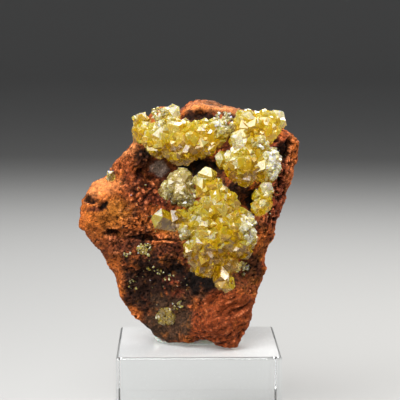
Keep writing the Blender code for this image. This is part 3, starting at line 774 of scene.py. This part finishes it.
def add_crystal(crystals, tip, outward, width, length, ridge, twist):
    """A stubby crystal: a roof with a short ridge over a four-sided prism that narrows to its root."""
    turn = outward.to_track_quat("Z", "Y").to_matrix() @ Matrix.Rotation(twist, 3, "Z")
    half_x = width / 2
    half_y = CRYSTAL_FLATNESS * width / 2
    bm = bmesh.new()

    def corner(x, y, depth):
        return bm.verts.new(tip + turn @ Vector((x, y, -depth)))

    signs = ((1, 1), (-1, 1), (-1, -1), (1, -1))
    girdle = [corner(half_x * x, half_y * y, GIRDLE_DEPTH * width) for x, y in signs]
    root = [corner(ROOT_WIDTH * half_x * x, ROOT_WIDTH * half_y * y, length) for x, y in signs]
    right = corner(ridge * half_x, 0, 0)
    left = corner(-ridge * half_x, 0, 0)
    for side, top in enumerate(((left, right), (left,), (right, left), (right,))):
        after = (side + 1) % 4
        bm.faces.new((girdle[side], girdle[after], *top))
        bm.faces.new((girdle[after], girdle[side], root[side], root[after]))
    bm.faces.new(reversed(root))
    object_from_bmesh("crystal", bm, crystals)


def surface_y(tree, x, z):
    """Where the rock's front lies at this place, seen from the front."""
    hit = tree.ray_cast(Vector((x, -BLOCK_SIDE, z)), Vector((0, 1, 0)))[0]
    return hit.y if hit else 0.0


def add_mound_crystals(crystals, rng, mounds, index, crystal_size, density, tree):
    """Crystals that radiate from one mound, where neither the rock nor another mound hides them."""
    centre, radius = mounds[index]
    others = mounds[:index] + mounds[index + 1:]
    for direction in fibonacci_directions(round(density * (radius / crystal_size) ** 2) + 2):
        wander = Vector((rng.uniform(-1, 1), rng.uniform(-1, 1), rng.uniform(-1, 1)))
        size = crystal_size * rng.uniform(*CRYSTAL_SIZES)
        lift = size * rng.uniform(*CRYSTAL_LIFTS)
        ridge = rng.choice(RIDGE_CHOICES)
        twist = rng.uniform(0, math.pi)
        tip = centre + direction * (radius + lift)
        buried = any((tip - other).length < BURIED_REACH * reach for other, reach in others)
        if buried or direction.y > BACK_FACING or tip.y > surface_y(tree, tip.x, tip.z):
            continue
        outward = (direction + CRYSTAL_LEAN * wander).normalized()
        length = min(CRYSTAL_LENGTH * size, radius + lift)
        add_crystal(crystals, tip, outward, size, length, ridge, twist)


def add_leading_crystal(crystals, rng, mounds, leading):
    """One of the larger crystals that stand out of the mass."""
    x_mm, z_mm, stand_out_mm, direction, width_mm, length_mm = leading
    x, z = x_mm * MM, z_mm * MM + BLOCK_TOP
    nearest = min((centre for centre, radius in mounds), key=lambda c: math.hypot(c.x - x, c.z - z))
    tip = Vector((x, nearest.y - stand_out_mm * MM, z))
    outward = Vector(direction).normalized()
    twist = rng.uniform(0, math.pi)
    add_crystal(crystals, tip, outward, width_mm * MM, length_mm * MM, LEADING_RIDGE, twist)


def place_mounds(spec, tree):
    """Centres and radii of a cluster's mounds, each set on the rock's front by its rise."""
    mounds = []
    for x_mm, z_mm, radius_mm, rise in spec["mounds"]:
        x, z, radius = x_mm * MM, z_mm * MM + BLOCK_TOP, radius_mm * MM
        depth = surface_y(tree, x, z) + radius * (0.5 - rise)
        mounds.append((Vector((x, depth, z)), radius))
    return mounds


def add_core(name, centre, radius, rounded, collection=None):
    """The middle of a mound. A rounded one fills its mound with a sheaf of thin flat layers."""
    bm = bmesh.new()
    if rounded:
        bmesh.ops.create_icosphere(bm, subdivisions=4, radius=radius)
        for vert in bm.verts:
            layer = noise.noise(Vector((0.0, 0.0, vert.co.z / LAYER_HEIGHT)) + centre)
            bulge = noise.noise(vert.co / BULGE_SIZE + centre / MM)
            vert.co *= 1 + LAYER_RELIEF * layer + BULGE_RELIEF * bulge
    else:
        bmesh.ops.create_icosphere(bm, subdivisions=1, radius=radius * CORE_SHARE)
    bmesh.ops.translate(bm, vec=centre, verts=bm.verts)
    return object_from_bmesh(name, bm, collection)


def join_crystals(piece, crystals):
    """Unite the crystals of a collection with the piece in one closed surface, and remove them."""
    union = piece.modifiers.new("union", "BOOLEAN")
    union.operation = "UNION"
    union.solver = "MANIFOLD"
    union.operand_type = "COLLECTION"
    union.collection = crystals
    apply_modifiers(piece)
    for crystal in list(crystals.objects):
        bpy.data.objects.remove(crystal, do_unlink=True)
    bpy.data.collections.remove(crystals)


def crystal_collection(name):
    crystals = bpy.data.collections.new(name)
    bpy.context.scene.collection.children.link(crystals)
    return crystals


def tint_crystals(piece, rock_tree, mounds, pale):
    """Tint every face: from root to tip, paler above and amber below by painted light and shade, by place
    and by chance.
    """
    mesh = piece.data
    centres = read_rows(mesh.polygons, "center", 3)
    normals = read_rows(mesh.polygons, "normal", 3)
    near = np.array([rock_tree.find_nearest(Vector(centre))[3] for centre in centres]) / MM
    # painted light on faces that look up and painted shade on those that look down; darker near the rock
    tint = TINT_START + TINT_BEFORE_ROCK * smooth_step(0.3, 4.0, near) + TINT_UPWARD * normals[:, 2]
    facet = np.array([noise.noise(Vector(n * 4 + c / (5 * MM))) for n, c in zip(normals, centres)])
    # painted glints: a few faces picked by chance, not those that look down, made nearly white
    painted_glint = smooth_step(0.19, 0.27, facet) * smooth_step(-0.6, 0.1, normals[:, 2])
    tint += TINT_VARIETY * facet + TINT_PAINTED_GLINT * painted_glint
    if mounds:
        reach = np.array([[np.linalg.norm(c - np.array(m)) / r for m, r in mounds] for c in centres])
        nearest = reach.argmin(1)
        middle = np.array([centre.z for centre, _ in mounds])[nearest]
        radius = np.array([radius for _, radius in mounds])[nearest]
        # painted light towards a mound's top, painted shade towards its foot
        tint += TINT_HEIGHT * np.clip((centres[:, 2] - middle) / radius, -1, 1)
        # paler tips and darker roots, partly painted shade deep between the crystals
        tint += TINT_TIP * (smooth_step(0.92, 1.22, reach.min(1)) - 0.5)
    points_mm = (centres - np.array([0, 0, BLOCK_TOP])) / MM
    for *place, shift in CRYSTAL_TINTS_MM:
        tint += shift * zone_share(points_mm, place, 0.0)
    if pale:
        tint += TINT_PALE
    mesh.attributes.new("tint", "FLOAT", "FACE").data.foreach_set("value", np.clip(tint, 0, 1))


def make_adamite_material(name, stops, transmission, absorption, density):
    """Translucent crystal. Stops are its colours from root to tip, read by each face's tint."""
    shader = Shader(name)
    tint = shader.node("Attribute", attribute_name="tint").outputs["Fac"]
    cloud = shader.between(shader.noise(1.6 * MM, detail=4.0, roughness=0.6), 0.3, 0.7, -0.2, 0.2)
    ramp = shader.node("ValToRGB", {"Fac": shader.math("ADD", tint, cloud)})
    first, last = ramp.color_ramp.elements
    first.color = (*stops[0], 1)
    last.color = (*stops[-1], 1)
    for index, stop in enumerate(stops[1:-1], 1):
        element = ramp.color_ramp.elements.new(index / (len(stops) - 1))
        element.color = (*stop, 1)
    shader.set(Base_Color=ramp.outputs["Color"])
    gloss = shader.noise(1.1 * MM, detail=3.0)
    shader.set(Roughness=shader.between(gloss, 0.4, 0.7, to_low=0.08, to_high=0.36))
    shader.set(IOR=1.72, Transmission_Weight=transmission, Specular_IOR_Level=0.4)
    shader.set(Subsurface_Weight=1.0, Subsurface_Radius=(1.0, 0.85, 0.2), Subsurface_Scale=2.5 * MM)
    steps = shader.noise(0.45 * MM, detail=2.0, roughness=0.5, stretch=(1.0, 1.0, 3.0))
    shader.set(Normal=shader.bump(steps, 0.05 * MM, strength=0.35))
    shader.absorb(absorption, density)
    return shader.material


def make_cluster(name, spec, materials, cad_tree, rock_tree):
    """One mass of crystals in the place of its CAD node, with smaller crystals between the large ones."""
    rng = random.Random(spec["seed"])
    mounds = place_mounds(spec, cad_tree)
    crystals = crystal_collection(name + "_crystals")
    rounded = spec.get("rounded", False)
    cluster = add_core(name + "_crystals", *mounds[0], rounded)
    for centre, radius in mounds[1:]:
        add_core("core", centre, radius, rounded, crystals)
    for index in range(len(mounds)):
        add_mound_crystals(crystals, rng, mounds, index, spec["crystal"] * MM, CRYSTAL_DENSITY, cad_tree)
    for leading in spec.get("leading", []):
        add_leading_crystal(crystals, rng, mounds, leading)
    small_rng = random.Random(spec["seed"] + SMALL_SEED)
    small_size = SMALL_SHARE * spec["crystal"] * MM
    if not rounded:
        for index in range(len(mounds)):
            add_mound_crystals(crystals, small_rng, mounds, index, small_size, SMALL_DENSITY, cad_tree)
    join_crystals(cluster, crystals)
    tint_crystals(cluster, rock_tree, mounds, spec.get("pale", False))
    slot = "pale_adamite" if spec.get("pale") else "adamite"
    give_material(cluster, materials[slot])
    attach(cluster, "root")
    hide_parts(name)
    cluster.visible_shadow = False
    return cluster


def tree_of(objects):
    """One search tree over the faces of several objects."""
    points = []
    faces = []
    for obj in objects:
        first = len(points)
        points += [vert.co.copy() for vert in obj.data.vertices]
        faces += [[first + index for index in polygon.vertices] for polygon in obj.data.polygons]
    return BVHTree.FromPolygons(points, faces)


def make_sprinkle(name, patches, material, front_tree, rock_tree):
    """Small crystals that stand on whatever lies at the front, in one mesh."""
    rng = random.Random(name)
    crystals = crystal_collection(name)
    for x_mm, z_mm, half_width, half_height, count, size_mm in patches:
        for _ in range(count):
            angle = rng.uniform(0, 2 * math.pi)
            reach = math.sqrt(rng.uniform(0, 1))
            x = (x_mm + half_width * reach * math.cos(angle)) * MM
            z = (z_mm + half_height * reach * math.sin(angle)) * MM + BLOCK_TOP
            size = size_mm * MM * rng.uniform(*SPRINKLED_SIZES)
            turn = Vector((rng.uniform(-1, 1), rng.uniform(-1, 1), rng.uniform(-1, 1)))
            twist = rng.uniform(0, math.pi)
            place, normal, _, _ = front_tree.ray_cast(Vector((x, -BLOCK_SIDE, z)), Vector((0, 1, 0)))
            if place is None:
                continue
            outward = (normal + SPRINKLED_LEAN * turn).normalized()
            tip = place + outward * SPRINKLED_RISE * size
            add_crystal(crystals, tip, outward, SPRINKLED_WIDTH * size, size, SPRINKLED_RIDGE, twist)
    piece = crystals.objects[0]
    crystals.objects.unlink(piece)
    bpy.context.scene.collection.objects.link(piece)
    piece.name = name
    join_crystals(piece, crystals)
    give_material(piece, material)
    tint_crystals(piece, rock_tree, [], True)
    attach(piece, "root")


# ---------------------------------------------------------------- block and tack


def make_acrylic(name, transmission, clear_roughness, dust_roughness):
    """Clear plastic with faint waves in its polish, and specks of dust."""
    shader = Shader(name)
    shader.set(Base_Color=ACRYLIC, IOR=1.49, Transmission_Weight=transmission)
    specks = shader.noise(0.35 * MM, detail=2.0, roughness=0.5)
    shader.set(Roughness=shader.between(specks, 0.68, 0.78, clear_roughness, dust_roughness))
    shader.set(Normal=shader.bump(shader.noise(14 * MM, detail=1.0), 0.15 * MM, strength=0.15))
    shader.absorb(ACRYLIC_ABSORPTION, 2.0)
    return shader.material


def make_block():
    """The acrylic block: finely rounded, polished edges, clear sides and a hazed top."""
    low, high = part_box("display_block")
    bm = bmesh.new()
    bmesh.ops.create_cube(bm, size=1.0)
    bmesh.ops.scale(bm, vec=high - low, verts=bm.verts)
    bmesh.ops.translate(bm, vec=(high + low) / 2, verts=bm.verts)
    bmesh.ops.bevel(bm, geom=bm.edges, offset=BLOCK_EDGE, segments=5, profile=0.5, affect="EDGES")
    block = object_from_bmesh("acrylic_block", bm)
    block.data.materials.append(make_acrylic("clear_acrylic", *CLEAR_SIDES))
    block.data.materials.append(make_acrylic("hazed_acrylic", *HAZED_TOP))
    top = max(block.data.polygons, key=lambda polygon: polygon.center.z)
    top.material_index = 1
    block.visible_shadow = False
    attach(block, "root")
    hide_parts("display_block")


def make_tack_material():
    """Matte and a little waxy, in two close tones."""
    shader = Shader("mineral_tack")
    tone = shader.between(shader.noise(3 * MM, detail=3.0), 0.35, 0.65)
    shader.set(Base_Color=shader.mix(tone, TACK_DARK, TACK_LIGHT))
    shader.set(Roughness=0.55, Subsurface_Weight=0.2, Subsurface_Scale=1 * MM)
    shader.set(Normal=shader.bump(shader.noise(0.6 * MM, detail=3.0), 0.1 * MM, strength=0.4))
    return shader.material


def make_tack():
    """The tack, with the soft dents of the fingers that pressed it."""
    tack = remeshed_copy("tack", "mineral_tack", TACK_VOXEL)
    mesh = tack.data
    edges = read_rows(mesh.edges, "vertices", 2, int)
    form = smoothed(read_rows(mesh.vertices, "co", 3), edges, TACK_MELT_STEPS)
    set_points(mesh, form)
    dents = DENT_DEPTH * noise_at(form / MM, DENT_SIZE_MM, 3)
    points = form + read_rows(mesh.vertices, "normal", 3) * dents[:, None]
    set_points(mesh, inside_box(points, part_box("mineral_tack")))
    shade_smooth(mesh)
    give_material(tack, make_tack_material())
    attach(tack, "root")
    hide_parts("mineral_tack")


# ---------------------------------------------------------------- stage


def make_floor():
    """A round pale floor that curves up into a wall far from the specimen, so that no horizon shows."""
    outline = [(0.0, 0.0), (FLOOR_RADIUS, 0.0)]
    for step in range(1, FLOOR_CURVE_STEPS + 1):
        angle = math.pi / 2 * step / FLOOR_CURVE_STEPS
        outline.append((FLOOR_RADIUS + FLOOR_CURVE * math.sin(angle), FLOOR_CURVE * (1 - math.cos(angle))))
    outline.append((FLOOR_RADIUS + FLOOR_CURVE, FLOOR_CURVE + WALL_HEIGHT))
    bm = bmesh.new()
    points = [bm.verts.new((x, 0.0, z)) for x, z in outline]
    edges = [bm.edges.new(pair) for pair in zip(points, points[1:])]
    bmesh.ops.spin(bm, geom=points + edges, cent=(0, 0, 0), axis=(0, 0, 1), angle=2 * math.pi,
                   steps=FLOOR_TURN_STEPS)
    bmesh.ops.remove_doubles(bm, verts=bm.verts, dist=MM)
    floor = object_from_bmesh("floor", bm)
    shade_smooth(floor.data)
    shader = Shader("pale_floor")
    shader.set(Base_Color=FLOOR_GREY, Roughness=0.6)
    give_material(floor, shader.material)


def add_light(name, place, size, power, colour):
    """A rectangular soft light that looks at the specimen."""
    data = bpy.data.lights.new(name, "AREA")
    data.shape = "RECTANGLE"
    data.size, data.size_y = size
    data.energy = power
    data.color = colour
    light = new_object(name, data)
    light.location = place
    light.visible_camera = False
    light.rotation_euler = (Vector(SPECIMEN_MIDDLE) - Vector(place)).to_track_quat("-Z", "Y").to_euler()


def make_lights():
    for name, light in LIGHTS.items():
        add_light(name, *light)
    world = bpy.data.worlds.new("soft_studio")
    world.use_nodes = True
    background = world.node_tree.nodes["Background"]
    background.inputs["Color"].default_value = WORLD_COLOUR
    background.inputs["Strength"].default_value = WORLD_STRENGTH
    bpy.context.scene.world = world


def make_camera():
    data = bpy.data.cameras.new("camera")
    data.sensor_width = SENSOR_WIDTH
    data.lens = CAMERA_LENS
    data.clip_start = 0.01
    camera = new_object("camera", data)
    camera.location = CAMERA_PLACE
    camera.rotation_euler = [math.radians(angle) for angle in CAMERA_TURN_DEG]
    bpy.context.scene.camera = camera


def main():
    cad_tree = BVHTree.FromObject(frame["nodes"]["limonite_matrix"], bpy.context.evaluated_depsgraph_get())
    rock = make_rock(cad_tree)
    rock_tree = BVHTree.FromObject(rock, bpy.context.evaluated_depsgraph_get())
    materials = {name: make_adamite_material(name, **look) for name, look in CRYSTAL_LOOKS.items()}
    clusters = []
    for name, spec in CLUSTERS_MM.items():
        clusters.append(make_cluster(name, spec, materials, cad_tree, rock_tree))
    front_tree = tree_of([rock] + clusters)
    for name, patches in SPRINKLES_MM.items():
        make_sprinkle(name, patches, materials["pale_adamite"], front_tree, rock_tree)
    make_block()
    make_tack()
    make_floor()
    make_lights()
    make_camera()
    bpy.context.scene.view_settings.view_transform = "Standard"


main()
